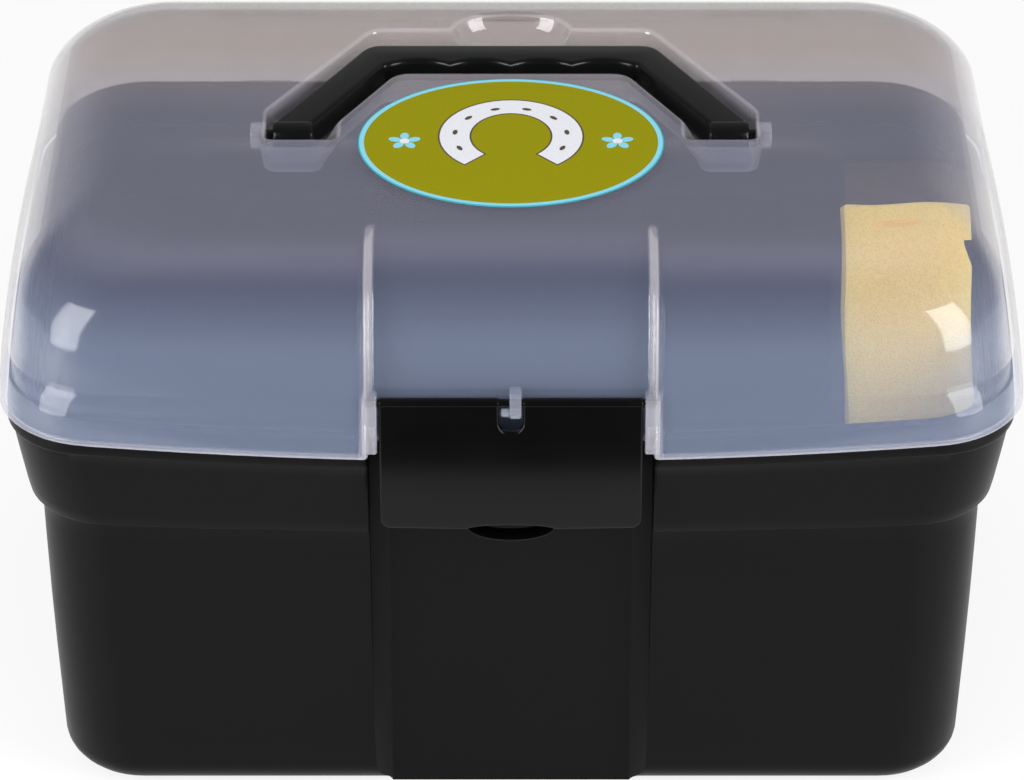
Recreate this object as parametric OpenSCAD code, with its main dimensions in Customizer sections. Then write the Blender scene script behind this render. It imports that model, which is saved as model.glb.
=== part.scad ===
// Grooming box for horse care: a moulded tub with a flared rim band, a frosted domed lid on a
// rear hinge, a bail handle folded into the lid's top, a hooked latch at the front and a
// lift-out tray with a sponge inside.
// Millimetres, +Z up, +Y to the back, origin in the middle of the base.

/* [Box] */
// Overall width across the lid's skirt
box_w = 308; // [285:1:330]
// Overall depth across the lid's skirt
box_d = 208; // [200:1:230]
// Plan radius of the lid's skirt corners
skirt_corner_r = 38; // [37:1:42]

/* [Tub] */
// Wall and floor thickness of the tub
tub_wall = 2.5; // [2:0.1:3]
// Height of the foot of the flared rim band
foot_z = 99.5; // [90:0.5:110]
// Height of the lid skirt's lower edge
skirt_z = 132; // [126:1:145]
// How far the tub's rim reaches up inside the lid's skirt
rim_lap = 6; // [4:0.5:8]
// Distance from the skirt's outer face in to the rim band
band_gap = 3.5; // [3:0.1:4.5]
// How far the band leans in from its lip to its foot
band_flare = 4.7; // [3:0.1:6]
// Height of the upright lip along the top of the band
lip_h = 12; // [8:1:16]
// How far the lip stands out from the band
lip_step = 0.8; // [0.4:0.1:1.2]
// How far the band's foot stands out from the wall below it
wall_step = 2.5; // [2:0.1:3.5]
// How much tighter the wall's corners are than the skirt's
corner_step = 14; // [11:1:16]
// Draft of the wall in degrees
wall_draft = 1.4; // [0.5:0.1:2.5]
// Radius of the edge round the base
base_r = 10; // [6:0.5:14]

/* [Front panel] */
// Width of each slanted side of the sunk panel in the tub's front
panel_slant = 5; // [3:0.5:7]
// Depth of the panel below the wall at the band's foot
panel_depth = 4.8; // [3:0.1:6]

/* [Lid] */
// Wall thickness of the lid
lid_wall = 2; // [1.5:0.1:2.5]
// Height of the lid above its skirt's lower edge
lid_h = 54; // [50:1:62]
// Width of the rib inside the skirt that rests on the tub's rim
seat_w = 3; // [2.2:0.1:4]
// Thickness of that rib at its inner edge
seat_t = 1.5; // [1:0.1:2.5]
// Gap between the rib and the rim
seat_gap = 0.2; // [0.1:0.05:0.5]
// Straight height of the skirt above the rib
skirt_straight = 1.3; // [0.5:0.1:4]
// Height over which the skirt turns in to the crease
crease_rise = 6; // [4:0.5:8]
// How far the crease lies inside the skirt's face
crease_in = 2; // [1:0.1:3]
// Lean of the lid's walls in degrees
lid_lean = 20; // [16:1:22]
// Radius of the lid's shoulder
shoulder_r = 29; // [24:1:30]
// Depth of the channel for the latch in the lid's front
channel_d = 6; // [4:0.5:8]

/* [Handle] */
// Depth of the recess for the handle
pocket_depth = 10; // [9.8:0.1:13]
// Half width of the recess at its front
pocket_x = 74; // [73:0.5:76]
// Front edge of the recess, from the middle of the lid
pocket_front = -14; // [-20:0.5:-12]
// Where the sides of the recess start to slant
pocket_turn = 3; // [0:0.5:8]
// Half width of the recess at its back
pocket_back_x = 43; // [42:0.5:48]
// Back edge of the recess
pocket_back = 54; // [52:0.5:56]
// Half width across the outside of the handle's legs at the pivot
leg_x = 71.3; // [70.3:0.1:72.3]
// Width of a leg, measured along the pivot
leg_w = 11.2; // [9:0.1:13]
// Half width of the grip at its back edge
grip_x = 44.5; // [41:0.5:46]
// Back edge of the grip
grip_back = 45.5; // [42:0.5:47]
// Front to back width of the grip
grip_w = 12.5; // [11:0.1:14]
// Distance between neighbouring finger dips in the grip
dip_pitch = 18.9; // [17:0.1:19.5]
// Depth of the finger dips
dip_depth = 2.8; // [1:0.1:4]
// Thickness of the handle
handle_h = 9; // [7:0.1:9.2]
// How far the folded handle's top lies below the lid's top
handle_drop = 0.4; // [0.2:0.1:1]
// Pivot of the handle, from the middle of the lid
pivot_y = -4; // [-7:0.5:0]
// Radius of the handle's pivot stubs
stub_r = 2; // [1.5:0.1:2.5]
// Gap between the handle and the raised middle of the recess
tongue_gap = 4.5; // [2:0.1:6]
// Radius of the finger scoop behind the grip
scoop_r = 17.5; // [14:0.5:18]
// Middle of the scoop, behind the grip's back edge
scoop_set = 5; // [3:0.5:5.5]
// Depth of the finger scoop
scoop_depth = 8; // [6:0.1:9]

/* [Latch] */
// Width of the latch
latch_w = 78; // [70:1:92]
// Room beside each end of the latch, for the lugs that carry it
latch_side = 4; // [3:0.5:6]
// Height of the latch's lower edge
latch_z = 106; // [103:0.5:112]
// Thickness of the latch plate
latch_t = 2.4; // [1.8:0.1:3]
// Radius of the rolled top of the latch
barrel_r = 3.2; // [2.8:0.1:3.8]
// Radius of the latch's axle
axle_r = 1.6; // [1.2:0.1:1.9]
// Width of the notch in the latch's top edge
notch_w = 7.4; // [6:0.1:9]
// Height of the notch
notch_h = 12; // [9:0.5:14]
// Thickness of the lug on the lid inside that notch
lug_w = 3.6; // [2.5:0.1:4.5]
// Width of the hook and of the catch that it grips
hook_w = 34; // [24:1:44]
// Height of the hook
hook_h = 4; // [3:0.1:5]
// How far the hook reaches under the catch
hook_bite = 1.3; // [0.8:0.1:1.6]
// How far the catch stands out from the panel
catch_out = 4; // [3:0.1:5]
// Rise of the catch's sloping underside
catch_rise = 2.5; // [2:0.1:3]
// Radius of the thumb tab below the latch
tab_r = 24; // [18:1:30]
// How far the thumb tab reaches below the latch
tab_drop = 3; // [1.5:0.1:4]

/* [Rear hinge] */
// Distance of each hinge from the middle of the box
hinge_x = 80; // [60:1:85]
// Distance of the hinge line behind the skirt's face
hinge_out = 2.5; // [2.3:0.1:3.5]
// Height of the hinge line above the skirt's lower edge
hinge_up = 1.5; // [0.8:0.1:1.8]
// Radius of the hinge knuckles
knuckle_r = 4; // [3:0.1:4.2]
// Radius of the hinge pins
pin_r = 1.5; // [1:0.1:2]
// Width of the lid's knuckle in each hinge
lid_knuckle_w = 16; // [10:1:22]
// Width of each of the tub's knuckles
tub_knuckle_w = 8; // [5:0.5:10]

/* [Tray and sponge] */
// Wall and floor thickness of the tray
tray_wall = 2; // [1.5:0.1:2.5]
// Gap between the tray and the tub
tray_gap = 1; // [0.6:0.1:1.2]
// How far the tray's edge lies below the tub's rim
tray_drop = 4; // [3:0.5:10]
// Width of the sponge
sponge_w = 38; // [30:1:45]
// Thickness of the sponge
sponge_t = 20; // [15:1:30]
// Height of the sponge
sponge_h = 64; // [45:1:64]
// Middle of the sponge's foot, front to back
sponge_y = -54; // [-55:1:0]
// How far the sponge leans back, in degrees
sponge_lean = 33; // [0:1:35]

/* [Label] */
// Width of the oval label
label_w = 92; // [80:1:96]
// Depth of the oval label
label_d = 77; // [60:1:80]
// Middle of the label, front to back
label_y = -16.5; // [-20:0.5:-14]
// Thickness of the label
label_t = 0.3; // [0.2:0.1:0.5]

/* [Clearances] */
// Radial gap of a turning pin, stub or axle in its hole
run_gap = 0.08; // [0.03:0.01:0.1]
// Radial gap of a hinge pin in the tub's knuckles
tight_gap = 0.02; // [0.01:0.01:0.03]
// Gap between parts that sit or slide beside each other
side_gap = 0.5; // [0.3:0.05:0.7]

/* [Hidden] */
$fn = 96;

// Length of a cut that has to pass right through
through = 2 * box_w;
// How far a cut passes the face that it opens
past = 1;
// How far a lug or web runs into the wall that carries it
sunk = 1;
// Steps in each rounded stretch of a profile
round_steps = 10;

// Middles of the rounded corners of the skirt and the band
corner_x = box_w / 2 - skirt_corner_r;
corner_y = box_d / 2 - skirt_corner_r;

// Heights
rim_z = skirt_z + rim_lap;
lip_z = rim_z - lip_h;
ledge_z = foot_z + tub_wall;
seat_z = rim_z + seat_gap;
rib_top_z = seat_z + seat_t + seat_w;
turn_z = rib_top_z + skirt_straight;
crease_z = turn_z + crease_rise;
lid_top_z = skirt_z + lid_h;

// Band of the tub, as distances out from the corner middles
lip_r = skirt_corner_r - band_gap;
band_top_r = lip_r - lip_step;
foot_r = lip_r - band_flare;

// Wall of the tub
wall_corner_r = skirt_corner_r - corner_step;
wall_half_w = corner_x + foot_r - wall_step;
wall_half_d = corner_y + foot_r - wall_step;
wall_x = wall_half_w - wall_corner_r;
wall_y = wall_half_d - wall_corner_r;
base_mid_r = wall_r(base_r) - base_r;

// Front panel
panel_y = -(wall_half_d - panel_depth);
channel_half = latch_w / 2 + latch_side;
panel_half = channel_half - panel_slant;
slant_turn = 45;

// Lid's shoulder
arc_z = lid_top_z - shoulder_r;
arc_foot_z = arc_z + shoulder_r * sin(lid_lean);
crease_r = skirt_corner_r - crease_in;
arc_r = crease_r - (arc_foot_z - crease_z) * tan(lid_lean) - shoulder_r * cos(lid_lean);
channel_r = crease_r - channel_d;
channel_y = -(corner_y + channel_r);

// Handle
handle_top_z = lid_top_z - handle_drop;
pivot_z = handle_top_z - handle_h / 2;
pocket_z = lid_top_z - pocket_depth;
leg_slope = (leg_x - grip_x) / (grip_back - pivot_y);
grip_front = grip_back - grip_w;
grip_in_x = leg_x - leg_w - (grip_front - pivot_y) * leg_slope;
dip_r = (dip_pitch * dip_pitch / 4 + dip_depth * dip_depth) / (2 * dip_depth);
dips = 4;
stub_grip = 3;
tongue_x = leg_x - leg_w - tongue_gap;
tongue_back = grip_front - tongue_gap;
tongue_back_x = tongue_x - (tongue_back - pivot_y) * leg_slope;
scoop_y = grip_back + scoop_set;

// Latch
latch_y = -(box_d / 2 - barrel_r);
latch_axis_z = crease_z - barrel_r + side_gap;
// The lugs stand a little proud of the latch's rolled top
lug_proud = 0.2;
lug_r = barrel_r + lug_proud;
catch_z = latch_z + hook_h + side_gap;
catch_face = panel_y - catch_out;
hook_tip = catch_face + hook_bite;
hook_nose = catch_rise * hook_bite / catch_out;

// Rear hinge
hinge_y = box_d / 2 + hinge_out;
hinge_z = skirt_z + hinge_up;
hinge_half = lid_knuckle_w / 2 + side_gap + tub_knuckle_w;
// Room above the tub's knuckles in the skirt
notch_room = 2;
notch_top_z = hinge_z + knuckle_r + notch_room;
// Reach of the tub knuckles' webs, below the band's lip and below the skirt
web_drop = 14;
web_clear = 2;
web_low_z = lip_z - web_drop;
web_high_z = skirt_z - web_clear;
// Where the webs and gussets leave the knuckles, in degrees from straight back
web_turn = 35;
gusset_turn = 40;

// Tray
tray_z = ledge_z + seat_gap;
tray_top_z = rim_z - tray_drop;
tray_foot_r = foot_r - tub_wall - tray_gap;
tray_lip_r = band_top_r - tub_wall - tray_gap;
tray_floor_half = corner_x + tray_foot_r - tray_wall;
sponge_x = tray_floor_half - side_gap - sponge_w / 2;
sponge_z = tray_z + tray_wall + seat_gap;
sponge_edge_r = 1.5;
// How far the sponge goes back for each millimetre of height
sponge_slope = tan(sponge_lean);

// Points along an arc round c, from angle a0 to angle a1
function arc_points(c, r, a0, a1) = [
  for (i = [0:round_steps])
    let (a = a0 + (a1 - a0) * i / round_steps)
      [c[0] + r * cos(a), c[1] + r * sin(a)]
];

// Radius of the wall's corners at height z
function wall_r(z) = wall_corner_r - (foot_z - z) * tan(wall_draft);

// Distance of the band's outer face from the corner middles at height z
function band_r(z) =
  z > lip_z ? lip_r : foot_r + (band_top_r - foot_r) * (z - foot_z) / (lip_z - foot_z);

// The lid's shoulder and wall, thinned by off and shifted in by shift
function dome(off, shift) = concat(
  arc_points([arc_r - shift, arc_z], shoulder_r - off, 90, lid_lean),
  [[crease_r - off / cos(lid_lean) - shift, crease_z]]
);

// A symmetrical outline with slanted shoulders, grown by g on its sides and back
function shouldered(half, turn, back_half, back, front, g) =
  let (a = atan2(half - back_half, back - turn))
  let (turn_g = turn + g * tan(a / 2))
  let (back_g = back_half + g * tan((90 - a) / 2))
    [
      [half + g, front], [half + g, turn_g], [back_g, back + g],
      [-back_g, back + g], [-half - g, turn_g], [-half - g, front]
    ];

// The front panel's plan, moved o into the box
function panel_outline(o) =
  let (x1 = panel_half + o * tan(slant_turn / 2), x2 = channel_half + o, y1 = panel_y + o)
  let (y2 = y1 - (x2 - x1) * tan(slant_turn))
    [[-x1, y1], [x1, y1], [x2, y2], [x2, -through], [-x2, -through], [-x2, y2]];

// A rectangle with rounded corners, middle at the origin
function round_rectangle(w, d, r) = concat(
  arc_points([w / 2 - r, d / 2 - r], r, 0, 90),
  arc_points([r - w / 2, d / 2 - r], r, 90, 180),
  arc_points([r - w / 2, r - d / 2], r, 180, 270),
  arc_points([w / 2 - r, r - d / 2], r, 270, 360)
);

// Points of an oval
function oval(w, d) = [for (a = [0:5:355]) [w / 2 * cos(a), d / 2 * sin(a)]];

// A profile of distance and height, run round a rectangle with its corner middles at x and y
module swept(x, y, profile) {
  heights = [for (p = profile) if (p[0] == 0) p[1]];
  translate([-x, -y, min(heights)])
    cube([2 * x, 2 * y, max(heights) - min(heights)]);
  for (s = [[0, x, y], [90, y, x], [180, x, y], [270, y, x]])
    rotate(s[0]) {
      translate([s[1], 0, 0])
        rotate([90, 0, 0])
          linear_extrude(2 * s[2], center = true)
            polygon(profile);
      translate([s[1], s[2], 0])
        rotate_extrude(angle = 90)
          polygon(profile);
    }
}

// A profile of Y and Z, w wide and centred on x
module slab(x, w) {
  translate([x - w / 2, 0, 0])
    rotate([90, 0, 90])
      linear_extrude(w)
        children();
}

// A round bar along X from x0 to x1
module bar(x0, x1, y, z, r) {
  translate([x0, y, z])
    rotate([0, 90, 0])
      cylinder(r = r, h = x1 - x0);
}

module tub_outside() {
  swept(wall_x, wall_y, concat(
    [[0, 0]],
    arc_points([base_mid_r, base_r], base_r, -90, 0),
    [[wall_corner_r, foot_z], [wall_corner_r, foot_z + sunk], [0, foot_z + sunk]]
  ));
  swept(corner_x, corner_y, [
    [0, foot_z], [foot_r, foot_z], [band_top_r, lip_z], [lip_r, lip_z],
    [lip_r, rim_z], [0, rim_z]
  ]);
}

module tub_inside() {
  swept(wall_x, wall_y, concat(
    [[0, tub_wall]],
    arc_points([base_mid_r, base_r], base_r - tub_wall, -90, 0),
    [
      [wall_corner_r - tub_wall, foot_z], [wall_corner_r - tub_wall, ledge_z + past],
      [0, ledge_z + past]
    ]
  ));
  swept(corner_x, corner_y, [
    [0, ledge_z], [foot_r - tub_wall, ledge_z], [band_top_r - tub_wall, lip_z],
    [lip_r - tub_wall, lip_z], [lip_r - tub_wall, rim_z + past], [0, rim_z + past]
  ]);
}

// The panel's space, o inside its face, over the tub's whole height
module panel_space(o) {
  translate([0, 0, -past])
    linear_extrude(rim_z + 3 * past)
      polygon(panel_outline(o));
}

// A ledge with a sloping underside that the latch's hook grips
module latch_catch() {
  slab(0, hook_w)
    polygon([
      [panel_y + sunk, catch_z], [panel_y, catch_z], [catch_face, catch_z + catch_rise],
      [catch_face, catch_z + catch_rise + past], [panel_y, catch_z + 2 * catch_rise + past],
      [panel_y + sunk, catch_z + 2 * catch_rise + past]
    ]);
}

// One tub knuckle, its web reaching down to the band
module tub_knuckle(x) {
  slab(x, tub_knuckle_w) {
    translate([hinge_y, hinge_z])
      circle(knuckle_r);
    polygon([
      [corner_y + band_r(web_low_z) - sunk, web_low_z],
      [hinge_y + knuckle_r * cos(web_turn), hinge_z - knuckle_r * sin(web_turn)],
      [hinge_y - knuckle_r * cos(web_turn), hinge_z + knuckle_r * sin(web_turn)],
      [corner_y + band_r(web_high_z) - sunk, web_high_z]
    ]);
  }
}

module tub() {
  color("#151515")
    difference() {
      union() {
        difference() {
          tub_outside();
          panel_space(0);
          difference() {
            tub_inside();
            panel_space(tub_wall);
          }
        }
        latch_catch();
        for (side = [-1, 1], end = [-1, 1])
          tub_knuckle(side * hinge_x + end * (hinge_half - tub_knuckle_w / 2));
      }
      for (side = [-1, 1])
        bar(side * hinge_x - hinge_half - past, side * hinge_x + hinge_half + past,
            hinge_y, hinge_z, pin_r + tight_gap);
    }
}

module lid_outside() {
  swept(corner_x, corner_y, concat(
    [[0, lid_top_z]],
    dome(0, 0),
    [[skirt_corner_r, turn_z], [skirt_corner_r, skirt_z], [0, skirt_z]]
  ));
}

module lid_inside() {
  inner_r = skirt_corner_r - lid_wall;
  rib_r = inner_r - seat_w;
  swept(corner_x, corner_y, concat(
    [[0, lid_top_z - lid_wall]],
    dome(lid_wall, 0),
    [
      [inner_r, turn_z], [inner_r, rib_top_z], [rib_r, seat_z + seat_t], [rib_r, seat_z],
      [inner_r, seat_z], [inner_r, skirt_z - past], [0, skirt_z - past]
    ]
  ));
}

// What lies in front of the channel's floor, off behind its face
module channel_space(half, off) {
  floor_line = concat(
    [[arc_r - channel_d, lid_top_z + past]],
    dome(off, channel_d),
    [
      [channel_r - off / cos(lid_lean), skirt_z - 2 * past], [through, skirt_z - 2 * past],
      [through, lid_top_z + past]
    ]
  );
  slab(0, 2 * half)
    polygon([for (p = floor_line) [-(corner_y + p[0]), p[1]]]);
}

// Room under the seat for the tub's rim, which turns in beside the channel
module rim_room() {
  skirt_in = box_d / 2 - lid_wall;
  for (side = [0, 1])
    mirror([side, 0, 0])
      translate([channel_half - side_gap, -skirt_in, skirt_z - past])
        cube([lid_wall + 2 * side_gap, skirt_in + channel_y + 2 * lid_wall, seat_z - skirt_z + past]);
}

// The recess for the handle, grown by g
module pocket_space(g) {
  translate([0, 0, pocket_z - g])
    linear_extrude(pocket_depth + g + past)
      difference() {
        polygon(shouldered(pocket_x, pocket_turn, pocket_back_x, pocket_back, pocket_front - g, g));
        polygon(shouldered(tongue_x, pivot_y, tongue_back_x, tongue_back, pocket_front - past - g, -g));
      }
  translate([0, scoop_y, lid_top_z - scoop_depth - g])
    cylinder(r = scoop_r + g, h = scoop_depth + g + past);
}

// Bosses behind the recess's sides for the handle's stubs
module stub_bosses() {
  for (side = [0, 180])
    rotate(side)
      bar(pocket_x + sunk, pocket_x + stub_grip + lid_wall, side == 0 ? pivot_y : -pivot_y,
          pivot_z, stub_r + lid_wall);
}

// Lugs that carry the latch's axle: one at each end and one in the notch
module latch_lugs() {
  side_in = latch_w / 2 + side_gap;
  lugs = [
    [(side_in + channel_half + sunk) / 2, channel_half + sunk - side_in],
    [-(side_in + channel_half + sunk) / 2, channel_half + sunk - side_in],
    [0, lug_w]
  ];
  for (l = lugs)
    slab(l[0], l[1]) {
      translate([latch_y, latch_axis_z])
        circle(lug_r);
      translate([latch_y, latch_axis_z - lug_r])
        square([channel_y - latch_y + sunk, 2 * lug_r]);
    }
}

// Lid knuckles, each with a gusset up the back of the skirt
module lid_knuckles() {
  for (side = [-1, 1])
    slab(side * hinge_x, lid_knuckle_w) {
      translate([hinge_y, hinge_z])
        circle(knuckle_r);
      polygon([
        [box_d / 2 - sunk, skirt_z], [hinge_y, hinge_z - knuckle_r],
        [hinge_y + knuckle_r * cos(gusset_turn), hinge_z + knuckle_r * sin(gusset_turn)],
        [box_d / 2 - sunk / 2, turn_z + sunk], [box_d / 2 - sunk, turn_z + sunk]
      ]);
    }
}

// Gaps in the skirt that let the tub's knuckles through
module knuckle_gaps() {
  gap_w = tub_knuckle_w + 2 * side_gap;
  for (side = [-1, 1], end = [-1, 1])
    translate([side * hinge_x + end * (hinge_half - tub_knuckle_w / 2) - gap_w / 2, 0, 0])
      translate([0, box_d / 2 - lid_wall - sunk, skirt_z - past])
        cube([gap_w, hinge_out + knuckle_r + 2 * lid_wall, notch_top_z - skirt_z + past]);
}

module lid() {
  color("#c9ccd6", 0.45)
    difference() {
      union() {
        difference() {
          lid_outside();
          channel_space(channel_half, 0);
          difference() {
            lid_inside();
            channel_space(channel_half + lid_wall, lid_wall);
            pocket_space(lid_wall);
            stub_bosses();
          }
          pocket_space(0);
          knuckle_gaps();
          rim_room();
        }
        latch_lugs();
        lid_knuckles();
      }
      for (side = [0, 180])
        rotate(side)
          bar(pocket_x - past, pocket_x + stub_grip + 2 * run_gap, side == 0 ? pivot_y : -pivot_y,
              pivot_z, stub_r + run_gap);
      bar(-channel_half, channel_half, latch_y, latch_axis_z, axle_r + run_gap);
      for (side = [-1, 1])
        bar(side * hinge_x - lid_knuckle_w / 2 - past, side * hinge_x + lid_knuckle_w / 2 + past,
            hinge_y, hinge_z, pin_r + run_gap);
    }
}

module latch() {
  face_y = -box_d / 2;
  inner_y = face_y + latch_t;
  axle_half = channel_half - side_gap;
  color("#181818") {
    difference() {
      union() {
        bar(-latch_w / 2, latch_w / 2, latch_y, latch_axis_z, barrel_r);
        translate([-latch_w / 2, face_y, latch_z])
          cube([latch_w, latch_t, latch_axis_z - latch_z]);
        // Thumb tab
        translate([0, inner_y, latch_z - tab_drop + tab_r])
          rotate([90, 0, 0])
            cylinder(r = tab_r, h = latch_t);
        slab(0, hook_w)
          polygon([
            [inner_y - sunk, latch_z], [hook_tip, latch_z + past],
            [hook_tip, latch_z + hook_h - hook_nose], [catch_face, latch_z + hook_h],
            [inner_y - sunk, latch_z + hook_h]
          ]);
      }
      translate([-notch_w / 2, face_y - past, latch_axis_z + barrel_r - notch_h])
        cube([notch_w, 2 * barrel_r + 2 * past, notch_h + past]);
    }
    bar(-axle_half, axle_half, latch_y, latch_axis_z, axle_r);
  }
}

module handle() {
  color("#1b1b1b") {
    translate([0, 0, handle_top_z - handle_h])
      linear_extrude(handle_h)
        difference() {
          polygon([
            [leg_x, pivot_y], [grip_x, grip_back], [-grip_x, grip_back], [-leg_x, pivot_y],
            [leg_w - leg_x, pivot_y], [-grip_in_x, grip_front], [grip_in_x, grip_front],
            [leg_x - leg_w, pivot_y]
          ]);
          for (i = [0:dips - 1])
            translate([(i - (dips - 1) / 2) * dip_pitch, grip_front + dip_depth - dip_r])
              circle(dip_r);
        }
    for (side = [0, 1])
      mirror([side, 0, 0]) {
        bar(leg_x - leg_w, leg_x, pivot_y, pivot_z, handle_h / 2);
        bar(leg_x - sunk, pocket_x + stub_grip, pivot_y, pivot_z, stub_r);
      }
  }
}

module hinge_pin(x) {
  color("#8d9094")
    bar(x - hinge_half, x + hinge_half, hinge_y, hinge_z, pin_r);
}

module hinge_pin_left() {
  hinge_pin(-hinge_x);
}

module hinge_pin_right() {
  hinge_pin(hinge_x);
}

module tray() {
  panel_off = tub_wall + tray_gap;
  color("#1d1d1d")
    difference() {
      swept(corner_x, corner_y, [
        [0, tray_z], [tray_foot_r, tray_z], [tray_lip_r, tray_top_z], [0, tray_top_z]
      ]);
      panel_space(panel_off);
      difference() {
        swept(corner_x, corner_y, [
          [0, tray_z + tray_wall], [tray_foot_r - tray_wall, tray_z + tray_wall],
          [tray_lip_r - tray_wall, tray_top_z], [tray_lip_r - tray_wall, tray_top_z + past],
          [0, tray_top_z + past]
        ]);
        panel_space(panel_off + tray_wall);
      }
    }
}

module sponge() {
  color("#e3cd84")
    translate([sponge_x, sponge_y, sponge_z])
      multmatrix([[1, 0, 0, 0], [0, 1, sponge_slope, 0], [0, 0, 1, 0]])
        linear_extrude(sponge_h)
          polygon(round_rectangle(sponge_w, sponge_t, sponge_edge_r));
}

module label() {
  color("#b9bd22")
    translate([0, label_y, lid_top_z])
      linear_extrude(label_t)
        polygon(oval(label_w, label_d));
}

tub();
lid();
latch();
handle();
hinge_pin_left();
hinge_pin_right();
tray();
sponge();
label();
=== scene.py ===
import math

import bmesh
import bpy
from mathutils import Matrix, Vector
from mathutils.geometry import tessellate_polygon


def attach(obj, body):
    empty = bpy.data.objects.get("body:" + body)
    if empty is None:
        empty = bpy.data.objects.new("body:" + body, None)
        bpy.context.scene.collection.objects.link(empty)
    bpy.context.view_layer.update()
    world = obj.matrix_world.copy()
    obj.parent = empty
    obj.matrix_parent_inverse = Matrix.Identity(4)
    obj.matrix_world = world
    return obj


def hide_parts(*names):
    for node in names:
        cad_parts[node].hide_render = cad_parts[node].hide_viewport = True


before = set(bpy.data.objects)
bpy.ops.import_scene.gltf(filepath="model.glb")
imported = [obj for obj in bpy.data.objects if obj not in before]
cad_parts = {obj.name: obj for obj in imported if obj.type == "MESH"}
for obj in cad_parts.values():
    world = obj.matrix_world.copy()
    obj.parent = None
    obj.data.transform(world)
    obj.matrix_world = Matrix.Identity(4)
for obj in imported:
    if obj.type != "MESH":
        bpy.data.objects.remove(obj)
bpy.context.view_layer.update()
scene = bpy.context.scene
scene.view_settings.view_transform = "Standard"

# Sizes in millimetres, as in the solids
MM = 0.001
# Middles of the rounded corners, seen from above
CORNER_X, CORNER_Y = 116.8, 66.0
# Lid: edge of the skirt, step inside the skirt, crease above the skirt, flat top
SKIRT_Z, STEP_Z, CREASE_Z, LID_TOP = 132.0, 141.0, 148.2, 186.0
LID_WALL, TUB_WALL = 2.0, 2.5
# Tub: rim at the front, its rise to the back, foot of the flared band, ledge for the tray
RIM_Z, RIM_RISE, BAND_Z, LEDGE_Z = 134.6, 9.6, 99.5, 102.0
# The lid's shoulder: its radius, and how far out and how high its middle lies
SHOULDER_R, SHOULDER_IN, SHOULDER_Z = 29.0, 2.59, 157.0
# Channel in the lid's front, and sunk panel in the tub's front
CHANNEL_HALF, CHANNEL_DEEP = 41.8, 6.0
PANEL_HALF, PANEL_Y = 36.4, 88.5
# Latch: half its width, and its axle
LATCH_HALF, LATCH_Y, LATCH_Z = 38.3, -100.8, 147.3
# Handle: its axis, its thickness, its top when folded, and the two sides of a leg
PIVOT_Y, PIVOT_Z, HANDLE_H, HANDLE_TOP = -4.0, 181.1, 9.0, 185.6
LEG_IN, LEG_OUT = 59.9, 72.2
# Rear hinge: middle of each half, its axis, and the knuckles' radius
HINGE_X, HINGE_Y, HINGE_Z, KNUCKLE_R = 80.0, 106.5, 133.5, 4.0
# How far the corners of the rim lie behind the middle of the front and of the sides
FRONT_BOW, SIDE_BOW = 7.2, 2.6
# Where the front's bow is drawn from, beside the channel, and the middle and half length of the sides' bow
FRONT_FROM, SIDE_MIDDLE, SIDE_HALF = 52.0, 15.0, 80.0


# Mesh building

# Points closer than this, in metres, become one
MERGE = 2e-6
# Share of an edge that a rounded corner may take: less where the next corner is rounded too
SHARED_EDGE, OWN_EDGE = 0.48, 0.98
# Corners of the plan: the bowed stretches end this many radii before them, and the steps round each
CORNER_SHARE, CORNER_STEPS = 1.02, 14
# Distance from the notch to the front's first point
BESIDE_NOTCH = 2.4


class Skin:
    """Points and faces of one moulding, in millimetres."""

    def __init__(self):
        self.points = []
        self.faces = []

    def ring(self, points):
        start = len(self.points)
        self.points += [tuple(p) for p in points]
        return list(range(start, len(self.points)))

    def bridge(self, a, b):
        for i in range(len(a)):
            j = (i + 1) % len(a)
            self.faces.append((a[i], a[j], b[j], b[i]))

    def walls(self, rings):
        """Walls from ring to ring; gives back the first ring and the last."""
        made = [self.ring(r) for r in rings]
        for a, b in zip(made, made[1:]):
            self.bridge(a, b)
        return made[0], made[-1]

    def fill(self, *loops):
        """A face inside the first loop, with the other loops as holes."""
        flat = [i for loop in loops for i in loop]
        corners = [[Vector(self.points[i]) for i in loop] for loop in loops]
        self.faces += [tuple(flat[k] for k in t) for t in tessellate_polygon(corners)]

    def solid(self, rings):
        first, last = self.walls(rings)
        self.fill(first)
        self.fill(last)


def unit(a, b):
    dx, dy = b[0] - a[0], b[1] - a[1]
    size = math.hypot(dx, dy) or 1.0
    return dx / size, dy / size


def outline(corners, grow=0.0):
    """Anticlockwise corners (x, y, radius, steps), moved out by grow and rounded."""
    n = len(corners)
    moved, turns = [], []
    for i, (x, y, _, _) in enumerate(corners):
        d1, d2 = unit(corners[i - 1], corners[i]), unit(corners[i], corners[(i + 1) % n])
        dot = max(-0.99, d1[0] * d2[0] + d1[1] * d2[1])
        k = grow / (1 + dot)
        moved.append((x + k * (d1[1] + d2[1]), y - k * (d1[0] + d2[0])))
        turns.append(math.atan2(d1[0] * d2[1] - d1[1] * d2[0], dot))
    points = []
    for i, (_, _, r, steps) in enumerate(corners):
        p, turn = moved[i], turns[i]
        if steps == 0:
            points.append(p)
            continue
        side = 1 if turn > 0 else -1
        half = max(1e-4, math.tan(abs(turn) / 2))
        radius = max(0.05, r + grow * side)
        before, after = (SHARED_EDGE if corners[j % n][3] else OWN_EDGE for j in (i - 1, i + 1))
        room = min(before * math.dist(moved[i - 1], p), after * math.dist(p, moved[(i + 1) % n]))
        reach = min(radius * half, room)
        radius = reach / half
        dx, dy = unit(moved[i - 1], p)
        sx, sy = p[0] - dx * reach, p[1] - dy * reach
        cx, cy = sx - dy * radius * side, sy + dx * radius * side
        vx, vy = sx - cx, sy - cy
        for step in range(steps + 1):
            c, s = math.cos(turn * step / steps), math.sin(turn * step / steps)
            points.append((cx + vx * c - vy * s, cy + vx * s + vy * c))
    return points


def mirrored(corners):
    """The same corners on the other side of the middle, in the order that goes on round the outline."""
    return [(-x, y, r, steps) for x, y, r, steps in reversed(corners)]


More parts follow.
